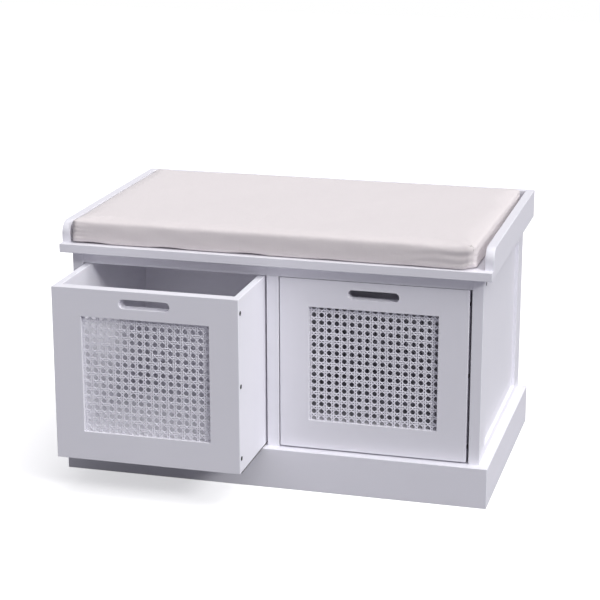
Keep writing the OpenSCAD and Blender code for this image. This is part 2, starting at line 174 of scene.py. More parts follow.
class Graph:
    """Adds nodes to one tree and links them."""

    def __init__(self, tree):
        self.tree = tree

    def feed(self, socket, value):
        if isinstance(value, bpy.types.NodeSocket):
            self.tree.links.new(value, socket)
        else:
            socket.default_value = value

    def node(self, kind, inputs=None, **settings):
        made = self.tree.nodes.new(kind)
        for name, value in settings.items():
            setattr(made, name, value)
        for name, value in (inputs or {}).items():
            self.feed(made.inputs[name], value)
        return made

    def math(self, operation, *values):
        inputs = dict(enumerate(values))
        return self.node("ShaderNodeMath", inputs, operation=operation).outputs[0]

    def vector(self, x=0.0, y=0.0, z=0.0):
        return self.node("ShaderNodeCombineXYZ", {"X": x, "Y": y, "Z": z}).outputs[0]

    def mix(self, factor, a, b):
        made = self.node("ShaderNodeMix", data_type="RGBA")
        self.feed(made.inputs["Factor"], factor)
        self.feed(made.inputs["A"], a)
        self.feed(made.inputs["B"], b)
        return made.outputs["Result"]

    def ramp(self, value, low, high):
        """0 below low, 1 above high and smooth between them."""
        return self.node(
            "ShaderNodeMapRange", {"Value": value, "From Min": low, "From Max": high},
            interpolation_type="SMOOTHSTEP").outputs["Result"]


def new_tree(name, kind, inputs, outputs):
    """A node group with these sockets: {name: (socket type, default or None, subtype or None)}."""
    tree = bpy.data.node_groups.new(name, kind)
    for side, sockets in (("INPUT", inputs), ("OUTPUT", outputs)):
        for label, (socket_type, default, subtype) in sockets.items():
            socket = tree.interface.new_socket(name=label, in_out=side, socket_type=socket_type)
            if subtype:
                socket.subtype = subtype
            if default is not None:
                socket.default_value = default
    return tree, Graph(tree), tree.nodes.new("NodeGroupInput"), tree.nodes.new("NodeGroupOutput")


FLOAT, COLOUR, VECTOR = "NodeSocketFloat", "NodeSocketColor", "NodeSocketVector"
GEOMETRY, MATERIAL = "NodeSocketGeometry", "NodeSocketMaterial"


# ---------------------------------------------------------------- shared surface effects

def sprayed_skin_group():
    """Sprayed paint: faint orange peel, faint wood fibres under it, and a slow change of tone."""
    tree, g, given, out = new_tree(
        "Sprayed Skin", "ShaderNodeTree",
        {"Colour": (COLOUR, (1, 1, 1, 1), None), "Roughness": (FLOAT, 0.4, "FACTOR"),
         "Fibres": (FLOAT, 0.5, "FACTOR")},
        {"Colour": (COLOUR, None, None), "Roughness": (FLOAT, None, None),
         "Height": (FLOAT, None, None)})
    place = g.node("ShaderNodeTexCoord").outputs["Object"]
    peel = g.node("ShaderNodeTexNoise", {"Vector": place, "Scale": 420, "Detail": 2})
    slow = g.node("ShaderNodeTexNoise", {"Vector": place, "Scale": 9, "Detail": 3})
    along = g.node("ShaderNodeMapping", {"Vector": place, "Scale": (260, 260, 7)}).outputs[0]
    fibre = g.node("ShaderNodeTexNoise", {"Vector": along, "Scale": 1, "Detail": 3})
    shade = g.ramp(slow.outputs["Fac"], 0.25, 0.75)
    darker = g.mix(1.0, given.outputs["Colour"], (0.72, 0.72, 0.76, 1))
    darker.node.blend_type = "MULTIPLY"
    amount = g.math("MULTIPLY", shade, 0.07)
    g.feed(out.inputs["Colour"], g.mix(amount, given.outputs["Colour"], darker))
    rough = g.math("MULTIPLY_ADD", peel.outputs["Fac"], 0.10, given.outputs["Roughness"])
    g.feed(out.inputs["Roughness"], g.math("MULTIPLY_ADD", shade, 0.06, rough))
    fibres = g.math("MULTIPLY", fibre.outputs["Fac"], given.outputs["Fibres"])
    g.feed(out.inputs["Height"], g.math("ADD", peel.outputs["Fac"], fibres))
    return tree


def long_grain_group():
    """Fibres that run along one axis: streaks of tone and a height to match."""
    tree, g, given, out = new_tree(
        "Long Grain", "ShaderNodeTree",
        {"Light": (COLOUR, (1, 1, 1, 1), None), "Dark": (COLOUR, (0, 0, 0, 1), None),
         "Stretch": (VECTOR, (40, 400, 400), None)},
        {"Colour": (COLOUR, None, None), "Height": (FLOAT, None, None)})
    place = g.node("ShaderNodeTexCoord").outputs["Object"]
    along = g.node("ShaderNodeMapping",
                   {"Vector": place, "Scale": given.outputs["Stretch"]}).outputs[0]
    streak = g.node("ShaderNodeTexNoise", {"Vector": along, "Scale": 1, "Detail": 5})
    cloud = g.node("ShaderNodeTexNoise", {"Vector": place, "Scale": 25, "Detail": 2})
    both = g.math("MULTIPLY_ADD", cloud.outputs["Fac"], 0.4, streak.outputs["Fac"])
    tone = g.ramp(both, 0.45, 0.95)
    g.feed(out.inputs["Colour"], g.mix(tone, given.outputs["Light"], given.outputs["Dark"]))
    g.feed(out.inputs["Height"], streak.outputs["Fac"])
    return tree


def plain_weave_group():
    """Threads over and under each other on the cloth's own UV map, in metres, with slubs. The low
    parts of the weave are darkened as painted shade, and the slubs as the yarn's own tone.
    """
    tree, g, given, out = new_tree(
        "Plain Weave", "ShaderNodeTree",
        {"Colour": (COLOUR, (1, 1, 1, 1), None), "Thread": (FLOAT, 0.8 * MM, "DISTANCE"),
         "Slub": (FLOAT, 0.5, "FACTOR")},
        {"Colour": (COLOUR, None, None), "Height": (FLOAT, None, None)})
    cloth = g.node("ShaderNodeUVMap", uv_map="cloth").outputs[0]
    uneven = g.node("ShaderNodeTexNoise", {"Vector": cloth, "Scale": 90, "Detail": 2})
    drift = g.math("MULTIPLY", uneven.outputs["Fac"], 1.2)
    axes = g.node("ShaderNodeSeparateXYZ", {"Vector": cloth})
    turns = g.math("DIVIDE", math.pi, given.outputs["Thread"])
    across = g.math("MULTIPLY_ADD", axes.outputs["X"], turns, drift)
    along = g.math("MULTIPLY_ADD", axes.outputs["Y"], turns, drift)
    warp = g.math("ABSOLUTE", g.math("SINE", across))
    weft = g.math("ABSOLUTE", g.math("SINE", along))
    over = g.math("MULTIPLY", g.math("SINE", g.math("MULTIPLY", across, 0.5)),
                  g.math("SINE", g.math("MULTIPLY", along, 0.5)))
    turn = g.ramp(over, -0.3, 0.3)
    height = g.math("ADD", g.math("MULTIPLY", warp, turn),
                    g.math("MULTIPLY", weft, g.math("SUBTRACT", 1.0, turn)))
    warp_wise = g.node("ShaderNodeMapping", {"Vector": cloth, "Scale": (30, 900, 1)}).outputs[0]
    weft_wise = g.node("ShaderNodeMapping", {"Vector": cloth, "Scale": (900, 30, 1)}).outputs[0]
    slubs = [g.node("ShaderNodeTexNoise", {"Vector": v, "Scale": 1, "Detail": 2}).outputs["Fac"]
             for v in (warp_wise, weft_wise)]
    slub = g.ramp(g.math("MAXIMUM", *slubs), 0.58, 0.80)
    slub = g.math("MULTIPLY", slub, given.outputs["Slub"])
    g.feed(out.inputs["Height"], g.math("MULTIPLY_ADD", slub, 0.8, height))
    # The colour is darkened where the threads dip low, as painted shade between the threads, and at
    # the slubs, as their own tone.
    deep = g.mix(1.0, given.outputs["Colour"], (0.80, 0.78, 0.75, 1))
    deep.node.blend_type = "MULTIPLY"
    tone = g.math("MULTIPLY_ADD", g.math("SUBTRACT", 1.0, height), 0.45,
                  g.math("MULTIPLY", slub, 0.35))
    g.feed(out.inputs["Colour"], g.mix(tone, given.outputs["Colour"], deep))
    return tree


# ---------------------------------------------------------------- finishes

def rgba(colour):
    return (*colour, 1.0)


def start_material(name):
    material = bpy.data.materials.new(name)
    material.use_nodes = True
    return material, Graph(material.node_tree), material.node_tree.nodes["Principled BSDF"]


def add_group(g, group, **inputs):
    return g.node("ShaderNodeGroup", {key.replace("_", " "): value for key, value in inputs.items()},
                  node_tree=group)


def add_bump(g, shader, height, strength, distance):
    bump = g.node("ShaderNodeBump",
                  {"Strength": strength, "Distance": distance, "Height": height})
    g.feed(shader.inputs["Normal"], bump.outputs["Normal"])


def satin_paint(group, name, colour, roughness, fibres):
    material, g, shader = start_material(name)
    skin = add_group(g, group, Colour=rgba(colour), Roughness=roughness, Fibres=fibres)
    g.feed(shader.inputs["Base Color"], skin.outputs["Colour"])
    g.feed(shader.inputs["Roughness"], skin.outputs["Roughness"])
    shader.inputs["Coat Weight"].default_value = 0.12
    shader.inputs["Coat Roughness"].default_value = 0.28
    add_bump(g, shader, skin.outputs["Height"], 0.14, 0.08 * MM)
    return material


def raw_timber(group, name, light, dark, stretch):
    material, g, shader = start_material(name)
    grain = add_group(g, group, Light=rgba(light), Dark=rgba(dark), Stretch=stretch)
    g.feed(shader.inputs["Base Color"], grain.outputs["Colour"])
    shader.inputs["Roughness"].default_value = 0.72
    add_bump(g, shader, grain.outputs["Height"], 0.35, 0.15 * MM)
    return material


def dark_steel():
    material, g, shader = start_material("Blackened Steel")
    place = g.node("ShaderNodeTexCoord").outputs["Object"]
    speck = g.node("ShaderNodeTexNoise", {"Vector": place, "Scale": 900, "Detail": 2})
    tone = g.mix(g.ramp(speck.outputs["Fac"], 0.4, 0.7),
                 (0.002, 0.002, 0.002, 1), (0.008, 0.008, 0.009, 1))
    g.feed(shader.inputs["Base Color"], tone)
    shader.inputs["Metallic"].default_value = 0.0
    shader.inputs["Specular IOR Level"].default_value = 0.1
    g.feed(shader.inputs["Roughness"],
           g.math("MULTIPLY_ADD", speck.outputs["Fac"], 0.25, 0.42))
    return material


def linen(group, colour, thread):
    material, g, shader = start_material("Natural Linen")
    weave = add_group(g, group, Colour=rgba(colour), Thread=thread, Slub=0.7)
    seam = g.node("ShaderNodeAttribute", attribute_name="seam_offset").outputs["Fac"]
    # The seam lines and the fold line are darkened as painted shade in their grooves.
    line = g.math("SUBTRACT", 1.0, g.ramp(g.math("ABSOLUTE", seam), 0.2 * MM, 1.0 * MM))
    seam_shade_colour = g.mix(g.math("MULTIPLY", line, 0.55), weave.outputs["Colour"],
                    (0.30, 0.27, 0.25, 1))
    g.feed(shader.inputs["Base Color"], seam_shade_colour)
    shader.inputs["Roughness"].default_value = 0.92
    shader.inputs["Sheen Weight"].default_value = 0.25
    shader.inputs["Sheen Roughness"].default_value = 0.6
    place = g.node("ShaderNodeTexCoord").outputs["Object"]
    rumple = g.node("ShaderNodeTexNoise", {"Vector": place, "Scale": 17, "Detail": 4})
    soft = g.node("ShaderNodeBump", {"Strength": 0.7, "Distance": 3 * MM,
                                     "Height": rumple.outputs["Fac"]})
    sewn = g.node("ShaderNodeBump", {"Strength": 0.6, "Distance": 0.8 * MM,
                                     "Height": g.math("SUBTRACT", 0.0, line),
                                     "Normal": soft.outputs["Normal"]})
    fine = g.node("ShaderNodeBump", {"Strength": 0.45, "Distance": 0.25 * MM,
                                     "Height": weave.outputs["Height"],
                                     "Normal": sewn.outputs["Normal"]})
    g.feed(shader.inputs["Normal"], fine.outputs["Normal"])
    return material


def matted(name, light, dark, scale, roughness, depth):
    """A felted, foamed or moulded stuff: two tones of fine noise and a bump of the same."""
    material, g, shader = start_material(name)
    place = g.node("ShaderNodeTexCoord").outputs["Object"]
    fleck = g.node("ShaderNodeTexNoise", {"Vector": place, "Scale": scale, "Detail": 4})
    tone = g.mix(g.ramp(fleck.outputs["Fac"], 0.35, 0.65), rgba(dark), rgba(light))
    g.feed(shader.inputs["Base Color"], tone)
    shader.inputs["Roughness"].default_value = roughness
    add_bump(g, shader, fleck.outputs["Fac"], 0.5, depth)
    return material


def make_finishes(scene):
    """Every material, by the record's slot that it is the finish of."""
    paint, cushion = scene.bench_paint, scene.bench_cushion
    skin, grain, weave = sprayed_skin_group(), long_grain_group(), plain_weave_group()
    return {
        "paint": satin_paint(skin, "Satin Paint", paint.colour, paint.roughness, 0.5),
        "cane": satin_paint(skin, "Painted Cane", paint.cane_colour, 0.38, 1.0),
        "hardboard": raw_timber(grain, "Hardboard", (0.62, 0.48, 0.34), (0.46, 0.34, 0.23),
                                (180, 180, 180)),
        "raw_wood": raw_timber(grain, "Bare Softwood", (0.66, 0.48, 0.29), (0.46, 0.30, 0.16),
                               (12, 220, 220)),
        "dark_screw": dark_steel(),
        "felt": matted("Pressed Felt", (0.16, 0.15, 0.14), (0.07, 0.065, 0.06), 1200, 0.97,
                       0.3 * MM),
        "foam": matted("Open Foam", (0.85, 0.80, 0.62), (0.70, 0.64, 0.46), 900, 0.95, 0.4 * MM),
        "zip": matted("Nylon Zip", (0.62, 0.58, 0.54), (0.52, 0.48, 0.45), 700, 0.5, 0.05 * MM),
        "cover_fabric": linen(weave, cushion.colour, cushion.thread),
    }


# ---------------------------------------------------------------- meshes from the frame

def nodes_in(*slots):
    return sorted(node for node, slot in SLOT_OF.items() if slot in slots)


def link_mesh(name, mesh):
    piece = bpy.data.objects.new(name, mesh)
    bpy.context.scene.collection.objects.link(piece)
    return piece


def merged_copy(node):
    """A CAD node's mesh as a bmesh of whole flat faces, with its places kept."""
    bm = bmesh.new()
    bm.from_mesh(frame["nodes"][node].data)
    bmesh.ops.remove_doubles(bm, verts=bm.verts, dist=0.002 * MM)
    bmesh.ops.dissolve_limit(bm, angle_limit=math.radians(0.4), verts=bm.verts, edges=bm.edges)
    return bm


def finish_piece(piece, node, material, replace=True):
    """Gives a finished piece its material and its body, and hides what it replaces."""
    piece.data.materials.clear()
    piece.data.materials.append(material)
    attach(piece, BODY_OF[node])
    if replace:
        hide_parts(node)
    return piece


def settle_modifiers(piece, name=None):
    """Turns a piece with modifiers into a plain mesh."""
    graph = bpy.context.evaluated_depsgraph_get()
    mesh = bpy.data.meshes.new_from_object(piece.evaluated_get(graph))
    piece.modifiers.clear()
    old = piece.data
    piece.data = mesh
    mesh.name = name or piece.name
    bpy.data.meshes.remove(old)
    return piece


# ---------------------------------------------------------------- eased boards

HARD_ANGLE = math.radians(38)
SMALL_HOLE = 12 * MM
NARROW_FACE = (10 * MM) ** 2


def inside_box(point, boxes, slack=0.02 * MM):
    return any(all(lo[i] - slack < point[i] < hi[i] + slack for i in range(3))
               for lo, hi in boxes)


def exposed(edge, neighbours):
    """Whether an edge is open to the air, not run along by a board that joins there."""
    middle = (edge.verts[0].co + edge.verts[1].co) / 2
    return not any(inside_box(middle + face.normal * 0.6 * MM, neighbours)
                   for face in edge.link_faces)


def hard_loops(bm):
    """The sharp outer edges, in connected groups."""
    hard = {e for e in bm.edges
            if len(e.link_faces) == 2 and e.calc_face_angle_signed(0) > HARD_ANGLE}
    groups = []
    while hard:
        group, ahead = [], [hard.pop()]
        while ahead:
            edge = ahead.pop()
            group.append(edge)
            touching = {e for v in edge.verts for e in v.link_edges} & hard
            hard -= touching
            ahead += touching
        groups.append(group)
    return groups


def span(edges):
    """The longest side of the box round some edges."""
    corners = [v.co for e in edges for v in e.verts]
    return max(max(c[i] for c in corners) - min(c[i] for c in corners) for i in range(3))


def eased_board(node, ease):
    """A painted board with its open edges rounded. Drilled holes keep their crisp rims."""
    neighbours = [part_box(other) for other in nodes_in("paint")
                  if other != node and BODY_OF[other] == BODY_OF[node]]
    bm = merged_copy(node)
    wide = [group for group in hard_loops(bm) if span(group) > SMALL_HOLE]
    edges = [e for group in wide for e in group if exposed(e, neighbours)]
    rounded = set(bmesh.ops.bevel(bm, geom=edges, offset=ease, segments=3, profile=0.5,
                                  affect="EDGES", clamp_overlap=True)["faces"])
    flat = {face for face in bm.faces if face not in rounded and face.calc_area() > NARROW_FACE}
    for edge in bm.edges:
        edge.smooth = flat.isdisjoint(edge.link_faces) and edge.calc_face_angle(0) < HARD_ANGLE
    for face in bm.faces:
        face.smooth = True
    mesh = bpy.data.meshes.new(node + "_painted")
    bm.to_mesh(mesh)
    bm.free()
    return link_mesh(node + "_painted", mesh)


class BENCH_OT_paint_boards(bpy.types.Operator):
    """Rounds the open edges of every painted board and gives it satin paint"""
    bl_idname = "bench.paint_boards"
    bl_label = "Paint Boards"

    def execute(self, context):
        for node in nodes_in("paint"):
            board = eased_board(node, context.scene.bench_paint.ease)
            finish_piece(board, node, finishes["paint"])
        return {"FINISHED"}


class BENCH_OT_finish_hidden_parts(bpy.types.Operator):
    """Gives the bare, felted and pinned parts their finishes"""
    bl_idname = "bench.finish_hidden_parts"
    bl_label = "Finish Hidden Parts"

    def execute(self, context):
        for node in nodes_in("hardboard", "raw_wood", "dark_screw", "felt", "foam"):
            for slot in frame["nodes"][node].material_slots:
                slot.material = finishes[SLOT_OF[node]]
        return {"FINISHED"}


# ---------------------------------------------------------------- cane

def strand_family(g, size, width, offset, angle, spacing, step, lift):
    """Parallel strands in weave space, where two straight pairs cross at the origin."""
    lines = g.math("MULTIPLY_ADD", size["reach"], 2.0, 1.0)
    half_span = g.math("MULTIPLY", size["reach"], spacing)
    half_length = g.math("MULTIPLY", size["reach"], g.math("MULTIPLY", step, 8.0))
    line = g.node("GeometryNodeCurvePrimitiveLine",
                  {"Start": g.vector(y=g.math("MULTIPLY", half_length, -1.0)),
                   "End": g.vector(y=half_length)})
    points = g.math("MULTIPLY_ADD", size["reach"], 16.0, 1.0)
    bent = g.node("GeometryNodeResampleCurve", {"Curve": line.outputs[0], "Count": points})
    row = g.node("GeometryNodeMeshLine",
                 {"Count": lines,
                  "Start Location": g.vector(x=g.math("SUBTRACT", offset, half_span)),
                  "Offset": g.vector(x=spacing)})
    laid = g.node("GeometryNodeInstanceOnPoints",
                  {"Points": row.outputs[0], "Instance": bent.outputs[0]})
    real = g.node("GeometryNodeRealizeInstances", {"Geometry": laid.outputs[0]})
    turned = g.node("GeometryNodeTransform",
                    {"Geometry": real.outputs[0], "Rotation": (0, 0, angle)})
    place = g.node("GeometryNodeInputPosition").outputs[0]
    axes = g.node("ShaderNodeSeparateXYZ", {"Vector": place})
    lifted = g.node("GeometryNodeSetPosition",
                    {"Geometry": turned.outputs[0],
                     "Offset": g.vector(z=lift(g, axes.outputs["X"], axes.outputs["Y"]))})
    centred = g.node("GeometryNodeTransform",
                     {"Geometry": lifted.outputs[0], "Translation": size["to_window"]})
    outside = g.math("MAXIMUM",
                     g.math("COMPARE", g.math("ABSOLUTE", axes.outputs["X"]), size["far_x"],
                            size["half_far_x"]),
                     g.math("COMPARE", g.math("ABSOLUTE", axes.outputs["Y"]), size["far_y"],
                            size["half_far_y"]))
    trimmed = g.node("GeometryNodeDeleteGeometry",
                     {"Geometry": centred.outputs[0], "Selection": outside}, domain="POINT")
    upright = g.node("GeometryNodeSetCurveNormal", {"Curve": trimmed.outputs[0]}, mode="Z_UP")
    ring = g.node("GeometryNodeCurvePrimitiveCircle", {"Resolution": 6, "Radius": 0.5})
    section = g.node("GeometryNodeTransform",
                     {"Geometry": ring.outputs[0],
                      "Scale": g.vector(width, size["thickness"], 1.0)})
    return g.node("GeometryNodeCurveToMesh",
                  {"Curve": upright.outputs[0], "Profile Curve": section.outputs[0],
                   "Fill Caps": True}).outputs[0]


def cane_tree():
    """Six-way cane: upright and level pairs, and two slants that cross between them."""
    tree, g, given, out = new_tree(
        "Cane Weave", "GeometryNodeTree",
        {"Width": (FLOAT, 0.24, "DISTANCE"), "Height": (FLOAT, 0.22, "DISTANCE"),
         "Hole Pitch": (FLOAT, 13 * MM, "DISTANCE"), "Strand Width": (FLOAT, 2 * MM, "DISTANCE"),
         "Diagonal Width": (FLOAT, 2 * MM, "DISTANCE"),
         "Strand Thickness": (FLOAT, 0.5 * MM, "DISTANCE"),
         "Pair Gap": (FLOAT, 0.5 * MM, "DISTANCE"), "First Crossing": (VECTOR, (0, 0, 0), None),
         "Material": (MATERIAL, None, None)},
        {"Geometry": (GEOMETRY, None, None)})
    pitch, thick = given.outputs["Hole Pitch"], given.outputs["Strand Thickness"]
    width, height = given.outputs["Width"], given.outputs["Height"]
    far = 10.0
    half_w, half_h = g.math("MULTIPLY", width, 0.5), g.math("MULTIPLY", height, 0.5)
    reach = g.math("CEIL", g.math("DIVIDE", g.math("ADD", half_w, half_h), pitch))
    size = {
        "reach": g.math("ADD", reach, 1.0),
        "thickness": thick,
        "to_window": given.outputs["First Crossing"],
        "far_x": far, "half_far_x": g.math("SUBTRACT", far, half_w),
        "far_y": far, "half_far_y": g.math("SUBTRACT", far, half_h),
    }
    pair = g.math("MULTIPLY", g.math("ADD", given.outputs["Strand Width"],
                                     given.outputs["Pair Gap"]), 0.5)
    half_turn = g.math("DIVIDE", math.pi, pitch)
    full_turn = g.math("MULTIPLY", half_turn, 2.0)

    def cosine(g, place, turns):
        return g.math("COSINE", g.math("MULTIPLY", place, turns))

    def parity(g, place):
        nearest = g.math("ROUND", g.math("DIVIDE", place, pitch))
        return g.math("COSINE", g.math("MULTIPLY", nearest, math.pi))

    def upright_lift(g, x, y):
        return g.math("MULTIPLY", g.math("MULTIPLY", parity(g, x), cosine(g, y, half_turn)),
                      g.math("MULTIPLY", thick, 0.5))

    def level_lift(g, x, y):
        return g.math("MULTIPLY", g.math("MULTIPLY", parity(g, y), cosine(g, x, half_turn)),
                      g.math("MULTIPLY", thick, -0.5))

    def rising_lift(g, x, y):
        return g.math("MULTIPLY", cosine(g, x, full_turn), thick)

    def falling_lift(g, x, y):
        return g.math("MULTIPLY", cosine(g, x, full_turn), g.math("MULTIPLY", thick, -1.0))

    quarter = g.math("MULTIPLY", pitch, 0.25)
    slant_spacing = g.math("MULTIPLY", pitch, math.sqrt(0.5))
    slant_step = g.math("MULTIPLY", pitch, math.sqrt(2) / 8)
    half_slant = g.math("MULTIPLY", slant_spacing, 0.5)
    minus_pair = g.math("MULTIPLY", pair, -1.0)
    straight, slanted = given.outputs["Strand Width"], given.outputs["Diagonal Width"]
    right, eighth = math.pi / 2, math.pi / 4
    families = [
        strand_family(g, size, straight, pair, 0, pitch, quarter, upright_lift),
        strand_family(g, size, straight, minus_pair, 0, pitch, quarter, upright_lift),
        strand_family(g, size, straight, pair, right, pitch, quarter, level_lift),
        strand_family(g, size, straight, minus_pair, right, pitch, quarter, level_lift),
        strand_family(g, size, slanted, half_slant, -eighth, slant_spacing, slant_step,
                      rising_lift),
        strand_family(g, size, slanted, half_slant, eighth, slant_spacing, slant_step,
                      falling_lift),
    ]
    joined = g.node("GeometryNodeJoinGeometry")
    for family in families:
        tree.links.new(family, joined.inputs[0])
    stood = g.node("GeometryNodeTransform",
                   {"Geometry": joined.outputs[0], "Rotation": (math.pi / 2, 0, 0)})
    smooth = g.node("GeometryNodeSetShadeSmooth", {"Geometry": stood.outputs[0]})
    real = g.node("GeometryNodeRealizeInstances", {"Geometry": smooth.outputs[0]})
    dressed = g.node("GeometryNodeSetMaterial",
                     {"Geometry": real.outputs[0], "Material": given.outputs["Material"]})
    g.feed(out.inputs["Geometry"], dressed.outputs[0])
    return tree


def set_inputs(modifier, values):
    """Sets a Geometry Nodes modifier's inputs by their sockets' identifiers."""
    for item in modifier.node_group.interface.items_tree:
        if item.item_type == "SOCKET" and item.in_out == "INPUT" and item.name in values:
            modifier[item.identifier] = values[item.name]


def grow_piece(name, mesh, tree, values, place=Vector((0, 0, 0))):
    """Runs a Geometry Nodes tree on a mesh and keeps the result as a plain mesh at its place."""
    piece = link_mesh(name, mesh)
    modifier = piece.modifiers.new(tree.name, "NODES")
    modifier.node_group = tree
    set_inputs(modifier, values)
    settle_modifiers(piece)
    piece.data.transform(Matrix.Translation(place))
    return piece


CANE_HIDDEN = 1.0 * MM
FIRST_HOLE_FROM_LEFT = 0.6
FIRST_HOLE_FROM_TOP = 0.12


class BENCH_OT_weave_cane(bpy.types.Operator):
    """Weaves six-way cane into the window of each drawer"""
    bl_idname = "bench.weave_cane"
    bl_label = "Weave Cane"

    def execute(self, context):
        cane = context.scene.bench_cane
        tree = cane_tree()
        for side in ("left", "right"):
            node = side + "_drawer_cane"
            lo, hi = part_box(node)
            window_lo, window_hi = window_box(side)
            middle = (lo + hi) / 2
            first_x = window_lo.x + (FIRST_HOLE_FROM_LEFT - 0.5) * cane.pitch
            first_z = window_hi.z - (FIRST_HOLE_FROM_TOP + 0.5) * cane.pitch
            values = {
                "Width": hi.x - lo.x - 2 * CANE_HIDDEN, "Height": hi.z - lo.z - 2 * CANE_HIDDEN,
                "Hole Pitch": cane.pitch, "Strand Width": cane.strand_width,
                "Diagonal Width": cane.diagonal_width, "Strand Thickness": cane.thickness,
                "Pair Gap": cane.pair_gap,
                "First Crossing": (math.remainder(first_x - middle.x, cane.pitch),
                                   math.remainder(first_z - middle.z, cane.pitch), 0),
                "Material": finishes["cane"],
            }
            piece = grow_piece(node + "_woven", bpy.data.meshes.new(node), tree, values, middle)
            finish_piece(piece, node, finishes["cane"])
        return {"FINISHED"}


def window_box(side):
    """The opening of a drawer's window: the beading runs round it, behind the cane."""
    lo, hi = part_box(side + "_drawer_beading")
    bm = merged_copy(side + "_drawer_beading")
    inner = [v.co for v in bm.verts
             if all(min(v.co[i] - lo[i], hi[i] - v.co[i]) > 1 * MM for i in (0, 2))]
    low = Vector([min(c[i] for c in inner) for i in range(3)])
    high = Vector([max(c[i] for c in inner) for i in range(3)])
    bm.free()
    return low, high


# ---------------------------------------------------------------- screws

def screw_tree():
    """Countersunk cross-head screws on points, each along the point's own axis."""
    tree, g, given, out = new_tree(
        "Cross-Head Screws", "GeometryNodeTree",
        {"Geometry": (GEOMETRY, None, None), "Head Radius": (FLOAT, 3.6 * MM, "DISTANCE"),
         "Shank Radius": (FLOAT, 2 * MM, "DISTANCE"), "Head Height": (FLOAT, 2.6 * MM, "DISTANCE"),
         "Length": (FLOAT, 30 * MM, "DISTANCE"), "Recess Width": (FLOAT, 1 * MM, "DISTANCE"),
         "Recess Span": (FLOAT, 4 * MM, "DISTANCE"), "Recess Depth": (FLOAT, 2 * MM, "DISTANCE"),
         "Material": (MATERIAL, None, None)},
        {"Geometry": (GEOMETRY, None, None)})
    head = g.node("GeometryNodeMeshCone",
                  {"Vertices": 24, "Radius Bottom": given.outputs["Head Radius"],
                   "Radius Top": given.outputs["Shank Radius"],
                   "Depth": given.outputs["Head Height"]})
    core = g.math("MULTIPLY", given.outputs["Shank Radius"], 0.98)
    shank = g.node("GeometryNodeMeshCone",
                   {"Vertices": 24, "Radius Bottom": core,
                    "Radius Top": g.math("MULTIPLY", core, 0.35),
                    "Depth": g.math("SUBTRACT", given.outputs["Length"],
                                    g.math("MULTIPLY", given.outputs["Head Height"], 0.5))})
    moved = g.node("GeometryNodeTransform",
                   {"Geometry": shank.outputs[0],
                    "Translation": g.vector(
                        z=g.math("MULTIPLY", given.outputs["Head Height"], 0.5))})
    whole = g.node("GeometryNodeMeshBoolean", operation="UNION")
    for part in (head.outputs[0], moved.outputs[0]):
        tree.links.new(part, whole.inputs["Mesh 2"])
    slots = g.node("GeometryNodeJoinGeometry")
    deep = g.math("MULTIPLY", given.outputs["Recess Depth"], 2.0)
    wide, long = given.outputs["Recess Width"], given.outputs["Recess Span"]
    for size in ((wide, long, deep), (long, wide, deep)):
        tree.links.new(g.node("GeometryNodeMeshCube", {"Size": g.vector(*size)}).outputs[0],
                       slots.inputs[0])
    cut = g.node("GeometryNodeMeshBoolean",
                 {"Mesh 1": whole.outputs[0], "Mesh 2": slots.outputs[0]},
                 operation="DIFFERENCE")
    axis = g.node("GeometryNodeInputNamedAttribute", {"Name": "axis"},
                  data_type="FLOAT_VECTOR").outputs[0]
    aim = g.node("FunctionNodeAlignRotationToVector", {"Vector": axis}, axis="Z").outputs[0]
    laid = g.node("GeometryNodeInstanceOnPoints",
                  {"Points": given.outputs["Geometry"], "Instance": cut.outputs[0],
                   "Rotation": aim})
    real = g.node("GeometryNodeRealizeInstances", {"Geometry": laid.outputs[0]})
    dressed = g.node("GeometryNodeSetMaterial",
                     {"Geometry": real.outputs[0], "Material": given.outputs["Material"]})
    g.feed(out.inputs["Geometry"], dressed.outputs[0])
    return tree


def loose_parts(bm):
    """The separate solids of a bmesh, each as a list of its points."""
    left = set(bm.verts)
    parts = []
    while left:
        part, ahead = [], [left.pop()]
        while ahead:
            vert = ahead.pop()
            part.append(vert.co.copy())
            near = {e.other_vert(vert) for e in vert.link_edges} & left
            left -= near
            ahead += near
        parts.append(part)
    return parts


def end_ring(points, axis, level):
    """How far the points at one end of a screw lie from its middle line."""
    ring = [p for p in points if abs(p[axis] - level) < 0.05 * MM]
    across = [i for i in range(3) if i != axis]
    return max(max(p[i] for p in ring) - min(p[i] for p in ring) for i in across) / 2


def measure_screw(points):
    """A screw's head centre, its direction, its length and its two radii."""
    lo = Vector([min(p[i] for p in points) for i in range(3)])
    hi = Vector([max(p[i] for p in points) for i in range(3)])
    axis = max(range(3), key=lambda i: hi[i] - lo[i])
    low_r, high_r = end_ring(points, axis, lo[axis]), end_ring(points, axis, hi[axis])
    head = (lo + hi) / 2
    direction = Vector((0, 0, 0))
    direction[axis] = 1 if low_r > high_r else -1
    head[axis] = lo[axis] if low_r > high_r else hi[axis]
    return head, direction, hi[axis] - lo[axis], max(low_r, high_r), min(low_r, high_r)


HEAD_TAPER = 2.6 / 1.6  # height of a countersunk head, over how far it reaches past the shank


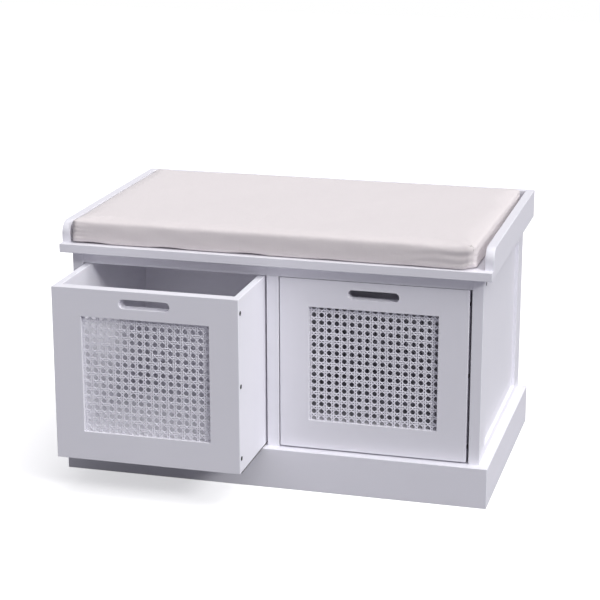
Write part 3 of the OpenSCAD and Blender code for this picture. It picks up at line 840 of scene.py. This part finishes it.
class BENCH_OT_drive_screws(bpy.types.Operator):
    """Sets a cross-head screw in every countersunk hole"""
    bl_idname = "bench.drive_screws"
    bl_label = "Drive Screws"

    def execute(self, context):
        recess = context.scene.bench_screws
        tree = screw_tree()
        for node in [n for n in nodes_in("dark_screw") if n.endswith("_screws")]:
            bm = merged_copy(node)
            screws = [measure_screw(part) for part in loose_parts(bm)]
            bm.free()
            mesh = bpy.data.meshes.new(node)
            rise = recess.head_rise if "drawer" in node else 0
            mesh.from_pydata([head - d * rise for head, d, *_ in screws], [], [])
            axis = mesh.attributes.new("axis", "FLOAT_VECTOR", "POINT")
            axis.data.foreach_set("vector", [x for _, d, *_ in screws for x in d])
            _, _, length, head_r, shank_r = screws[0]
            values = {
                "Head Radius": head_r + rise, "Shank Radius": shank_r, "Length": length,
                "Head Height": (head_r - shank_r) * HEAD_TAPER,
                "Recess Width": recess.recess_width, "Recess Span": recess.recess_span,
                "Recess Depth": recess.recess_depth, "Material": finishes["dark_screw"],
            }
            piece = grow_piece(node + "_driven", mesh, tree, values)
            finish_piece(piece, node, finishes["dark_screw"])
        return {"FINISHED"}


# ---------------------------------------------------------------- cushion

CORNERS = [(sx, sy) for sx in (-1, 1) for sy in (-1, 1)]
FILL_STEPS = 20

# The upright seams at the corners.
SEAM_CORNER, SEAM_REACH = 14 * MM, 30 * MM   # the corner's roundness, and how far a seam is felt
SEAM_DEPTH, SEAM_WIDTH = 1.3 * MM, 3 * MM
RIGHT_SEAM_SHADE_LOWEST = 0.68                     # share of the height above which the painted shade of a right seam shows
FAR_FROM_SEAM = 1.0
FOLD_SHADE_DROP, FOLD_SHADE_LENGTH = 4 * MM, 15 * MM     # the painted shade line under the short fold beside the top of a right seam

# Level folds along the front and back, and along the two ends.
FRONT_FOLD, SIDE_FOLD, SIDE_REACH = 0.9 * MM, 0.5 * MM, 45 * MM

# The tuck below a corner, the ear on top of it, and how far a left corner is pulled out square.
TUCK_REACH, TUCK_IN, TUCK_UP = 26 * MM, 7 * MM, 11 * MM
EAR_RADIUS, EAR_OUT, EAR_UP = 9 * MM, 2.8 * MM, 4 * MM
SQUARE_OUT = 2 * MM

# How far the lower front edge lifts, how deep the lift goes, and how far the cover strays from
# the middle of its place: out at the back right, forward at the front right, out on the left.
EDGE_LIFT, EDGE_DEPTH = 3.4 * MM, 25 * MM
STRAY_RIGHT, STRAY_FORWARD, STRAY_LEFT = 8 * MM, 7 * MM, 3 * MM
LEFT_ROOM = 3.3 * MM                         # a little less than the gap to the left arm rail


def slack_cover(lo, hi, cell):
    """The cover before it is filled: a rounded box, a little smaller than the cushion."""
    inset, corner, edge = 2.2 * MM, 10 * MM, 5 * MM
    off_seat, under_top = 0.3 * MM, 2.6 * MM
    bm = bmesh.new()
    bmesh.ops.create_cube(bm, size=1)
    low = Vector((lo.x + inset, lo.y + inset, lo.z + off_seat))
    high = Vector((hi.x - inset, hi.y - inset, hi.z - under_top))
    for vert in bm.verts:
        for i in range(3):
            vert.co[i] = low[i] if vert.co[i] < 0 else high[i]
    upright = [e for e in bm.edges if abs(e.verts[0].co.z - e.verts[1].co.z) > edge]
    bmesh.ops.bevel(bm, geom=upright, offset=corner, segments=6, profile=0.5, affect="EDGES")
    rims = [e for e in bm.edges
            if e.calc_face_angle(0) > math.radians(60)
            and abs(e.verts[0].co.z - e.verts[1].co.z) < 1 * MM]
    bmesh.ops.bevel(bm, geom=rims, offset=edge, segments=4, profile=0.5, affect="EDGES")
    mesh = bpy.data.meshes.new("cushion_cover_sewn")
    bm.to_mesh(mesh)
    bm.free()
    cover = link_mesh("cushion_cover_sewn", mesh)
    remesh = cover.modifiers.new("Even Mesh", "REMESH")
    remesh.mode = "VOXEL"
    remesh.voxel_size = cell
    return settle_modifiers(cover)


def coordinates(mesh):
    flat = np.zeros(len(mesh.vertices) * 3)
    mesh.vertices.foreach_get("co", flat)
    return flat.reshape(-1, 3)


def set_coordinates(mesh, points):
    mesh.vertices.foreach_set("co", points.astype(np.float32).ravel())
    mesh.update()


def fill_cover(cover, lo, settings):
    """Blows the cover up like cloth over a filling, with its underside held by the seat."""
    start = coordinates(cover.data)
    held = cover.vertex_groups.new(name="on the seat")
    held.add([int(i) for i in np.flatnonzero(start[:, 2] < lo.z + 3 * MM)], 1.0, "REPLACE")
    cloth = cover.modifiers.new("Filling", "CLOTH")
    cloth.settings.quality = 4
    cloth.settings.mass = 0.25
    cloth.settings.tension_stiffness = 12
    cloth.settings.compression_stiffness = 12
    cloth.settings.shear_stiffness = 6
    cloth.settings.bending_stiffness = 0.6
    cloth.settings.use_pressure = True
    cloth.settings.uniform_pressure_force = settings.pressure
    cloth.settings.vertex_group_mass = held.name
    cloth.settings.effector_weights.gravity = 0
    scene = bpy.context.scene
    for step in range(1, FILL_STEPS + 1):
        scene.frame_set(step)
    settle_modifiers(cover)
    scene.frame_set(1)
    move = coordinates(cover.data) - start
    far = np.linalg.norm(move, axis=1, keepdims=True)
    capped = np.where(far > 0, np.tanh(far / settings.swell) * settings.swell / far.clip(1e-9), 0)
    set_coordinates(cover.data, start + move * capped)
    cover.vertex_groups.clear()


def subdivide(piece):
    smooth = piece.modifiers.new("Smooth", "SUBSURF")
    smooth.levels = smooth.render_levels = 1
    settle_modifiers(piece)


class Cover:
    """A filled cover: where each of its points lies on the cushion, and how it faces."""

    def __init__(self, mesh, lo, hi):
        self.lo, self.hi = lo, hi
        self.points = coordinates(mesh)
        self.x, self.y, self.z = self.points.T.copy()
        normals = np.zeros(self.points.size)
        mesh.vertex_normals.foreach_get("vector", normals)
        self.normals = normals.reshape(-1, 3)
        self.up = ((self.z - lo.z) / (hi.z - lo.z)).clip(0, 1)
        self.right = (self.x - lo.x) / (hi.x - lo.x)
        self.back = (self.y - lo.y) / (hi.y - lo.y)
        self.side = (1 - np.abs(self.normals[:, 2])).clip(0, 1)

    def facing(self, axis, way):
        """How squarely each point's surface faces one way along an axis."""
        return np.clip(self.normals[:, axis] * way, 0, 1)

    def from_corner(self, sx, sy):
        """How far inside a corner of the cushion each point lies, along x and along y."""
        corner_x = self.hi.x if sx > 0 else self.lo.x
        corner_y = self.hi.y if sy > 0 else self.lo.y
        return (corner_x - self.x) * sx, (corner_y - self.y) * sy


def seam_offset(cover):
    """How far each point lies from the nearest upright corner seam, across it."""
    best = np.full(len(cover.points), FAR_FROM_SEAM)
    for sx, sy in CORNERS:
        away_x, away_y = cover.from_corner(sx, sy)
        dx, dy = SEAM_CORNER - away_x, SEAM_CORNER - away_y
        across = (dx - dy) / math.sqrt(2)
        near = (dx + dy > 0) & (np.minimum(dx, dy) > -SEAM_REACH)
        best = np.where(near & (np.abs(across) < np.abs(best)), across, best)
    return best


def seam_shade_line(cover, seam):
    """Where the painted shade of the seams shows: the whole seam on the left, and on the right its
    top and a short shade line under the fold beside it.
    """
    for sy in (-1, 1):
        away_x, _ = cover.from_corner(1, sy)
        fold = np.abs(cover.z - cover.hi.z + FOLD_SHADE_DROP) + np.clip(away_x - FOLD_SHADE_LENGTH, 0, 1)
        seam = np.where(cover.facing(1, sy) > 0.3, np.minimum(np.abs(seam), fold), seam)
    hidden = (cover.x > 0) & (cover.up < RIGHT_SEAM_SHADE_LOWEST)
    return np.where(hidden, FAR_FROM_SEAM, seam)


def fold_fade(away, reach):
    """How strong a fold is at this distance from its corner: none at the corner itself."""
    return np.exp(-(away / reach) ** 1.5) * np.clip(away / (8 * MM), 0, 1)


def corner_folds(cover, sx, sy):
    """Level folds that run into a corner: few and long on the slack right, short on the left."""
    away_x, away_y = np.abs(cover.from_corner(sx, sy))
    reach, waves = (75 * MM, 3.1) if sx > 0 else (24 * MM, 6.0)
    rise = 2 * math.pi * (cover.up * waves + away_x / (260 * MM))
    on_front = np.sin(rise + 0.9 * np.sin(away_x * 60) + sy)
    on_side = np.sin(2 * math.pi * cover.up * 4.2 + 0.8 * np.sin(away_y * 75) + 2 * sy)
    return (FRONT_FOLD * fold_fade(away_x, reach) * cover.facing(1, sy) ** 2 * on_front
            + SIDE_FOLD * fold_fade(away_y, SIDE_REACH) * cover.facing(0, sx) ** 2 * on_side)


def corner_pull(cover, sx, sy):
    """The tuck below a corner, the ear above it, and the square pull of the left corners."""
    away = np.hypot(*cover.from_corner(sx, sy))
    near = np.clip(1 - away / TUCK_REACH, 0, 1)
    tuck = near ** 1.3 * (1 - cover.up) ** 1.5 * (1.0 if sx > 0 else 0.1)
    ear = np.exp(-(away / EAR_RADIUS) ** 2) * cover.up ** 4
    return (np.outer(tuck, (-sx * TUCK_IN, -sy * TUCK_IN, TUCK_UP))
            + np.outer(ear, (sx * EAR_OUT, sy * EAR_OUT, EAR_UP))
            + np.outer(near * (sx < 0), (sx * SQUARE_OUT, sy * SQUARE_OUT, 0)))


def dents(cover):
    """The shallow waves of a cover that has been sat on, and its crowned front and firm rim."""
    x, up, top = cover.x, cover.up, cover.facing(2, 1)
    slack = 0.35 + 0.9 * np.exp(-((x + 0.17) / 0.07) ** 2)
    slanting = 0.5 * np.sin(up * 5.5 - x * 75 + 1.3 * np.sin(x * 23))
    level = 0.35 * np.sin(up * 9 + x * 38) * np.sin(x * 21 + 0.3)
    crown = 1.1 * (1 - (2 * up - 1) ** 2)
    sat_on = 0.5 * np.sin(x * 17 + 0.4) * np.sin(cover.y * 23 + 1.1)
    rim = 0.8 * (2 * top * cover.side) ** 2
    return MM * (cover.facing(1, -1) * (slack * (slanting + level) + crown) + top * sat_on + rim)


def lie_askew(cover):
    """Strays out and forward at the right end and out at the left, and lifts the front edge."""
    pull = np.zeros_like(cover.points)
    pull[:, 0] = (STRAY_RIGHT * np.clip(2 * cover.right - 1, 0, 1) * cover.back
                  - STRAY_LEFT * np.clip(1 - 2 * cover.right, 0, 1))
    pull[:, 1] = -STRAY_FORWARD * np.clip(1 - 2 * cover.back, 0, 1) * cover.right.clip(0) ** 1.5
    wander = np.clip(np.sin(cover.x * 45 + 3.4), 0, 1) * np.where(cover.x < 0.06, 1, 0.4)
    at_front = np.clip(1 - (cover.y - cover.lo.y) / EDGE_DEPTH, 0, 1)
    pull[:, 2] = EDGE_LIFT * wander * (1 - cover.up) ** 3 * at_front
    return pull


def crease_cover(piece, lo, hi):
    """Presses in the corner seams and marks where their painted shade goes, and adds the folds, dents
    and lifts of a cover that is worn.
    """
    cover = Cover(piece.data, lo, hi)
    seam = seam_offset(cover)
    tight = np.where(cover.x < 0, 1, cover.up ** 3)
    push = dents(cover) - SEAM_DEPTH * np.exp(-(seam / SEAM_WIDTH) ** 2) * cover.side * tight
    pull = lie_askew(cover)
    for sx, sy in CORNERS:
        push += corner_folds(cover, sx, sy)
        pull += corner_pull(cover, sx, sy)
    points = cover.points + cover.normals * push[:, None] + pull
    points[:, 0] = points[:, 0].clip(lo.x - LEFT_ROOM)
    points[:, 2] = points[:, 2].clip(lo.z)
    set_coordinates(piece.data, points)
    attribute = piece.data.attributes.new("seam_offset", "FLOAT", "POINT")
    attribute.data.foreach_set("value", seam_shade_line(cover, seam).astype(np.float32))


def lay_cloth_uv(cover, top_z):
    """Lays the weave flat on the top and folds it down each side, in metres."""
    mesh = cover.data
    layer = mesh.uv_layers.new(name="cloth")
    points = coordinates(mesh)
    for face in mesh.polygons:
        n = face.normal
        along_x = abs(n.x) > abs(n.y)
        for loop in face.loop_indices:
            p = points[mesh.loops[loop].vertex_index]
            drop = top_z - p[2]
            if along_x:
                layer.data[loop].uv = (p[0] + math.copysign(drop, n.x), p[1])
            else:
                layer.data[loop].uv = (p[0], p[1] + math.copysign(drop, n.y))


class BENCH_OT_sew_cushion(bpy.types.Operator):
    """Sews, fills and creases the cushion's linen cover"""
    bl_idname = "bench.sew_cushion"
    bl_label = "Sew Cushion"

    def execute(self, context):
        settings = context.scene.bench_cushion
        lo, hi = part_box("cushion_cover")
        cover = slack_cover(lo, hi, settings.cell)
        fill_cover(cover, lo, settings)
        subdivide(cover)
        crease_cover(cover, lo, hi)
        lay_cloth_uv(cover, hi.z)
        for face in cover.data.polygons:
            face.use_smooth = True
        finish_piece(cover, "cushion_cover", finishes["cover_fabric"])
        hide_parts("cushion_foam")
        return {"FINISHED"}


# ---------------------------------------------------------------- zip

ZIP_POINTS = 81
ROW_STAGGER, ROW_PROUD, ROW_APART = 0.25, 0.9, 0.13   # in pitches, tape thicknesses, tape widths
TAB_PLACE, TAB_SCALE, TAB_TILT = (9 * MM, 1 * MM, -2 * MM), (1.9, 0.35, 0.6), 0.3


def zip_tree():
    """A zip along the edges it is given: tape, teeth from both sides, and a slider at one end."""
    tree, g, given, out = new_tree(
        "Zip", "GeometryNodeTree",
        {"Geometry": (GEOMETRY, None, None), "Tape Width": (FLOAT, 6 * MM, "DISTANCE"),
         "Tape Thickness": (FLOAT, 0.5 * MM, "DISTANCE"),
         "Tooth Pitch": (FLOAT, 2.6 * MM, "DISTANCE"),
         "Tooth Size": (VECTOR, (1.3 * MM, 1.1 * MM, 2.4 * MM), None),
         "Slider Size": (VECTOR, (8 * MM, 2.6 * MM, 5 * MM), None),
         "Material": (MATERIAL, None, None)},
        {"Geometry": (GEOMETRY, None, None)})
    line = g.node("GeometryNodeMeshToCurve", {"Mesh": given.outputs["Geometry"]}).outputs[0]
    upright = g.node("GeometryNodeSetCurveNormal", {"Curve": line}, mode="Z_UP").outputs[0]
    width, thick = given.outputs["Tape Width"], given.outputs["Tape Thickness"]
    section = g.node("GeometryNodeCurvePrimitiveQuadrilateral",
                     {"Width": thick, "Height": width}).outputs[0]
    tape = g.node("GeometryNodeCurveToMesh",
                  {"Curve": upright, "Profile Curve": section, "Fill Caps": True}).outputs[0]
    tooth = g.node("GeometryNodeMeshCube", {"Size": given.outputs["Tooth Size"]}).outputs[0]
    pitch = given.outputs["Tooth Pitch"]
    points = g.node("GeometryNodeCurveToPoints", {"Curve": upright, "Length": pitch},
                    mode="LENGTH").outputs[0]
    rows = [tape]
    for side in (-1, 1):
        shift = g.vector(x=g.math("MULTIPLY", pitch, ROW_STAGGER * side),
                         y=g.math("MULTIPLY", thick, ROW_PROUD),
                         z=g.math("MULTIPLY", width, ROW_APART * side))
        moved = g.node("GeometryNodeSetPosition", {"Geometry": points, "Offset": shift}).outputs[0]
        rows.append(g.node("GeometryNodeInstanceOnPoints",
                           {"Points": moved, "Instance": tooth}).outputs[0])
    end = g.node("GeometryNodeTrimCurve", {"Curve": upright, "Start": 0.0, "End": 0.002},
                 mode="FACTOR").outputs[0]
    stop = g.node("GeometryNodeCurveToPoints", {"Curve": end, "Count": 1},
                  mode="COUNT").outputs[0]
    body = g.node("GeometryNodeMeshCube", {"Size": given.outputs["Slider Size"]}).outputs[0]
    tab = g.node("GeometryNodeTransform",
                 {"Geometry": body, "Translation": TAB_PLACE, "Rotation": (0, TAB_TILT, 0),
                  "Scale": TAB_SCALE}).outputs[0]
    slider = g.node("GeometryNodeJoinGeometry")
    for part in (body, tab):
        tree.links.new(part, slider.inputs[0])
    rows.append(g.node("GeometryNodeInstanceOnPoints",
                       {"Points": stop, "Instance": slider.outputs[0]}).outputs[0])
    joined = g.node("GeometryNodeJoinGeometry")
    for row in rows:
        tree.links.new(row, joined.inputs[0])
    real = g.node("GeometryNodeRealizeInstances", {"Geometry": joined.outputs[0]})
    dressed = g.node("GeometryNodeSetMaterial",
                     {"Geometry": real.outputs[0], "Material": given.outputs["Material"]})
    g.feed(out.inputs["Geometry"], dressed.outputs[0])
    return tree


def zip_line(cover, lo, hi):
    """A mesh of edges along the zip, just proud of the back of the filled cover."""
    skin = BVHTree.FromObject(cover, bpy.context.evaluated_depsgraph_get())
    behind, proud, middle_z = 30 * MM, 0.15 * MM, (lo.z + hi.z) / 2
    points = []
    for x in np.linspace(lo.x, hi.x, ZIP_POINTS):
        hit, *_ = skin.ray_cast(Vector((x, hi.y + behind, middle_z)), Vector((0, -1, 0)))
        points.append((x, hit.y + proud, middle_z))
    mesh = bpy.data.meshes.new("cushion_zip_line")
    mesh.from_pydata(points, [(i, i + 1) for i in range(ZIP_POINTS - 1)], [])
    return mesh


class BENCH_OT_sew_zip(bpy.types.Operator):
    """Sews the zip along the back of the cushion's cover"""
    bl_idname = "bench.sew_zip"
    bl_label = "Sew Zip"

    def execute(self, context):
        lo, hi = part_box("cushion_zip")
        line = zip_line(bpy.data.objects["cushion_cover_sewn"], lo, hi)
        values = {"Tape Width": hi.z - lo.z, "Material": finishes["zip"]}
        piece = grow_piece("cushion_zip_sewn", line, zip_tree(), values)
        finish_piece(piece, "cushion_zip", finishes["zip"])
        return {"FINISHED"}


# ---------------------------------------------------------------- studio

SUNS = {  # the way to each light, its strength and its width in the sky
    "Front Right Key": ((1.55, -0.9, 1), 1.26, math.radians(12)),
    "Wide Overhead": ((0.42, -0.1, 1), 1.85, math.radians(55)),
}
SKY_COLOUR, SKY_STRENGTH = (0.93, 0.92, 1.0, 1), 0.32
WHITE, FLOOR_BOUNCE, FLOOR_GLOW = (1, 1, 1, 1), (0.22, 0.22, 0.245, 1), 0.5
FLOOR_HALF = 6


def add_sun(name, towards, strength, spread):
    light = bpy.data.lights.new(name, "SUN")
    light.energy = strength
    light.angle = spread
    lamp = bpy.data.objects.new(name, light)
    lamp.rotation_euler = Vector(towards).to_track_quat("Z", "Y").to_euler()
    bpy.context.scene.collection.objects.link(lamp)


def white_sky(scene):
    """A world that is white to the eye and dimmer as a light."""
    world = bpy.data.worlds.new("White Sky")
    scene.world = world
    world.use_nodes = True
    g = Graph(world.node_tree)
    seen = g.node("ShaderNodeLightPath").outputs["Is Camera Ray"]
    lit = world.node_tree.nodes["Background"]
    lit.inputs["Color"].default_value = SKY_COLOUR
    lit.inputs["Strength"].default_value = SKY_STRENGTH
    plain = g.node("ShaderNodeBackground", {"Color": WHITE, "Strength": 1.0})
    both = g.node("ShaderNodeMixShader", {0: seen, 1: lit.outputs[0], 2: plain.outputs[0]})
    g.feed(world.node_tree.nodes["World Output"].inputs["Surface"], both.outputs[0])


def add_floor():
    """A floor that is white to the eye and throws little light back up at the bench."""
    bm = bmesh.new()
    bmesh.ops.create_grid(bm, x_segments=1, y_segments=1, size=FLOOR_HALF)
    mesh = bpy.data.meshes.new("studio_floor")
    bm.to_mesh(mesh)
    bm.free()
    floor = link_mesh("studio_floor", mesh)
    material, g, shader = start_material("White Floor")
    seen = g.node("ShaderNodeLightPath").outputs["Is Camera Ray"]
    g.feed(shader.inputs["Base Color"], g.mix(seen, FLOOR_BOUNCE, WHITE))
    shader.inputs["Emission Color"].default_value = WHITE
    g.feed(shader.inputs["Emission Strength"], g.math("MULTIPLY", seen, FLOOR_GLOW))
    shader.inputs["Roughness"].default_value = 0.9
    shader.inputs["Specular IOR Level"].default_value = 0.0
    floor.data.materials.append(material)


class BENCH_OT_set_stage(bpy.types.Operator):
    """Sets the floor, the lights and the camera"""
    bl_idname = "bench.set_stage"
    bl_label = "Set Stage"

    def execute(self, context):
        scene, studio = context.scene, context.scene.bench_studio
        scene.view_settings.view_transform = "Standard"
        white_sky(scene)
        add_floor()
        for name, sun in SUNS.items():
            add_sun(name, *sun)
        data = bpy.data.cameras.new("Camera")
        data.lens = studio.lens
        data.sensor_width = 36
        camera = bpy.data.objects.new("Camera", data)
        scene.collection.objects.link(camera)
        camera.location = studio.camera_place
        turn = Euler((math.pi / 2 - studio.camera_tilt, 0, studio.camera_turn)).to_matrix()
        roll = Matrix.Rotation(-studio.camera_roll, 3, "Z")
        camera.rotation_euler = (turn @ roll).to_euler()
        scene.camera = camera
        return {"FINISHED"}


# ---------------------------------------------------------------- panel and registration

STEPS = (BENCH_OT_set_stage, BENCH_OT_finish_hidden_parts, BENCH_OT_paint_boards,
         BENCH_OT_weave_cane, BENCH_OT_drive_screws, BENCH_OT_sew_cushion, BENCH_OT_sew_zip)


class BENCH_PT_sidebar(bpy.types.Panel):
    """Lists the bench's sizes and the steps that build it"""
    bl_idname = "BENCH_PT_sidebar"
    bl_label = "Entryway Bench"
    bl_space_type = "VIEW_3D"
    bl_region_type = "UI"
    bl_category = "Bench"

    def draw(self, context):
        for name, group in SETTINGS.items():
            box = self.layout.box()
            for key in group.__annotations__:
                box.prop(getattr(context.scene, name), key)
        for step in STEPS:
            self.layout.operator(step.bl_idname)


CLASSES = (*SETTINGS.values(), *STEPS, BENCH_PT_sidebar)
finishes = {}


def register():
    for cls in CLASSES:
        bpy.utils.register_class(cls)
    for name, group in SETTINGS.items():
        setattr(bpy.types.Scene, name, PointerProperty(type=group))


def unregister():
    for name in SETTINGS:
        delattr(bpy.types.Scene, name)
    for cls in reversed(CLASSES):
        bpy.utils.unregister_class(cls)


def main():
    register()
    finishes.update(make_finishes(bpy.context.scene))
    bpy.ops.bench.set_stage()
    bpy.ops.bench.finish_hidden_parts()
    bpy.ops.bench.paint_boards()
    bpy.ops.bench.weave_cane()
    bpy.ops.bench.drive_screws()
    bpy.ops.bench.sew_cushion()
    bpy.ops.bench.sew_zip()


if __name__ == "__main__":
    main()
